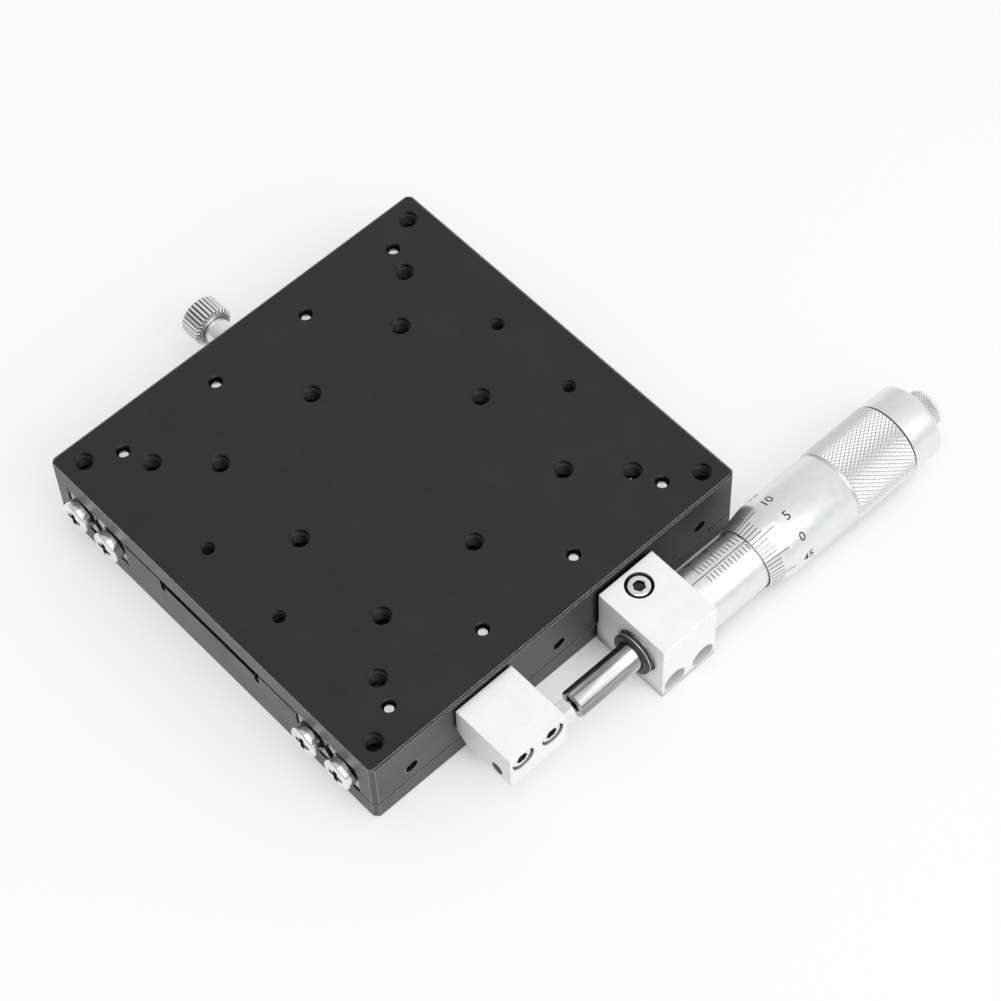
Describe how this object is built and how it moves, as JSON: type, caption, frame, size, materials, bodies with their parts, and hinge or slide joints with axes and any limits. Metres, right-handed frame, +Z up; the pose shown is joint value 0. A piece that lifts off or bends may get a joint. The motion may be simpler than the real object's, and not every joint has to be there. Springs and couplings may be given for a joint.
{
  "type": "linear translation stage",
  "caption": "Square low-profile linear translation stage on crossed-roller rails, moved by a side-mounted micrometer head against return springs, with a side lock.",
  "frame": {"origin": "centre of the base's underside", "axes": "+X is the direction of travel, towards the micrometer's thimble; +Z is up; the micrometer is on the -Y side and the lock on the +Y side"},
  "size_m": [0.148, 0.1348, 0.02],
  "materials": {
    "black_anodised": "black anodised",
    "blasted_aluminium": "bead blasted",
    "satin_chrome": "satin",
    "polished_steel": "polished",
    "ground_steel": "ground",
    "plated_steel": "bright plated",
    "dark_steel": "black oxide",
    "brass": "bare",
    "spring_steel": "drawn wire"
  },
  "bodies": {
    "base": {"base_plate": "black_anodised", "base_rail_near": "ground_steel", "base_rail_far": "ground_steel", "base_rail_screw_1": "plated_steel", "base_rail_screw_2": "plated_steel", "base_rail_screw_3": "plated_steel", "base_rail_screw_4": "plated_steel", "base_rail_screw_5": "plated_steel", "base_rail_screw_6": "plated_steel", "base_rail_screw_7": "plated_steel", "base_rail_screw_8": "plated_steel", "base_end_screw_1": "plated_steel", "base_end_screw_2": "plated_steel", "base_end_screw_3": "plated_steel", "base_end_screw_4": "plated_steel", "micrometer_holder": "blasted_aluminium", "holder_screw_1": "plated_steel", "holder_screw_2": "plated_steel", "clamp_screw": "plated_steel", "micrometer_sleeve": "satin_chrome", "stem_nut": "dark_steel", "lock_plate": "black_anodised", "lock_plate_screw_1": "plated_steel", "lock_plate_screw_2": "plated_steel", "base_spring_pin_1": "ground_steel", "base_spring_pin_2": "ground_steel", "return_spring_near": "spring_steel", "return_spring_far": "spring_steel"},
    "table": {"table_plate": "black_anodised", "table_rail_near": "ground_steel", "table_rail_far": "ground_steel", "table_rail_screw_1": "plated_steel", "table_rail_screw_2": "plated_steel", "table_rail_screw_3": "plated_steel", "table_rail_screw_4": "plated_steel", "table_rail_screw_5": "plated_steel", "table_rail_screw_6": "plated_steel", "table_rail_screw_7": "plated_steel", "table_rail_screw_8": "plated_steel", "table_end_screw_1": "plated_steel", "table_end_screw_2": "plated_steel", "table_end_screw_3": "plated_steel", "table_end_screw_4": "plated_steel", "preload_screw_1": "dark_steel", "preload_screw_2": "dark_steel", "preload_screw_3": "dark_steel", "anvil_block": "blasted_aluminium", "anvil_screw_1": "plated_steel", "anvil_screw_2": "plated_steel", "contact_pin": "plated_steel", "table_spring_pin_1": "ground_steel", "table_spring_pin_2": "ground_steel"},
    "cage_near": {"roller_cage_near": "brass"},
    "cage_far": {"roller_cage_far": "brass"},
    "feed": {"spindle": "polished_steel"},
    "thimble": {"thimble": "satin_chrome", "thimble_cap": "satin_chrome"},
    "ratchet": {"ratchet_knob": "satin_chrome"},
    "lock": {"lock_knob": "plated_steel"}
  },
  "joints": [
    {"name": "feed_slide", "type": "slide", "parent": "base", "child": "feed", "axis": [1, 0, 0], "range_m": [-0.012, 0.0125]},
    {"name": "thimble_turn", "type": "hinge", "parent": "feed", "child": "thimble", "pos_m": [0.082, -0.062, 0.01], "axis": [1, 0, 0], "range_deg": [-8640, 9000]},
    {"name": "table_slide", "type": "slide", "parent": "base", "child": "table", "axis": [1, 0, 0], "range_m": [-0.012, 0.0125], "deforming": ["return_spring_near", "return_spring_far"]},
    {"name": "cage_near_slide", "type": "slide", "parent": "base", "child": "cage_near", "axis": [1, 0, 0], "range_m": [-0.006, 0.00625]},
    {"name": "cage_far_slide", "type": "slide", "parent": "base", "child": "cage_far", "axis": [1, 0, 0], "range_m": [-0.006, 0.00625]},
    {"name": "ratchet_turn", "type": "hinge", "parent": "thimble", "child": "ratchet", "pos_m": [0.0934, -0.062, 0.01], "axis": [1, 0, 0], "continuous": true},
    {"name": "lock_turn", "type": "hinge", "parent": "table", "child": "lock", "pos_m": [0, 0.0578, 0.01], "axis": [0, 1, 0], "range_deg": [-180, 180]}
  ],
  "couplings": [
    {"joint": "feed_slide", "follows": "table_slide", "ratio": 1},
    {"joint": "thimble_turn", "follows": "table_slide", "rad_per_m": 12566},
    {"joint": "cage_near_slide", "follows": "table_slide", "ratio": 0.5},
    {"joint": "cage_far_slide", "follows": "table_slide", "ratio": 0.5}
  ]
}
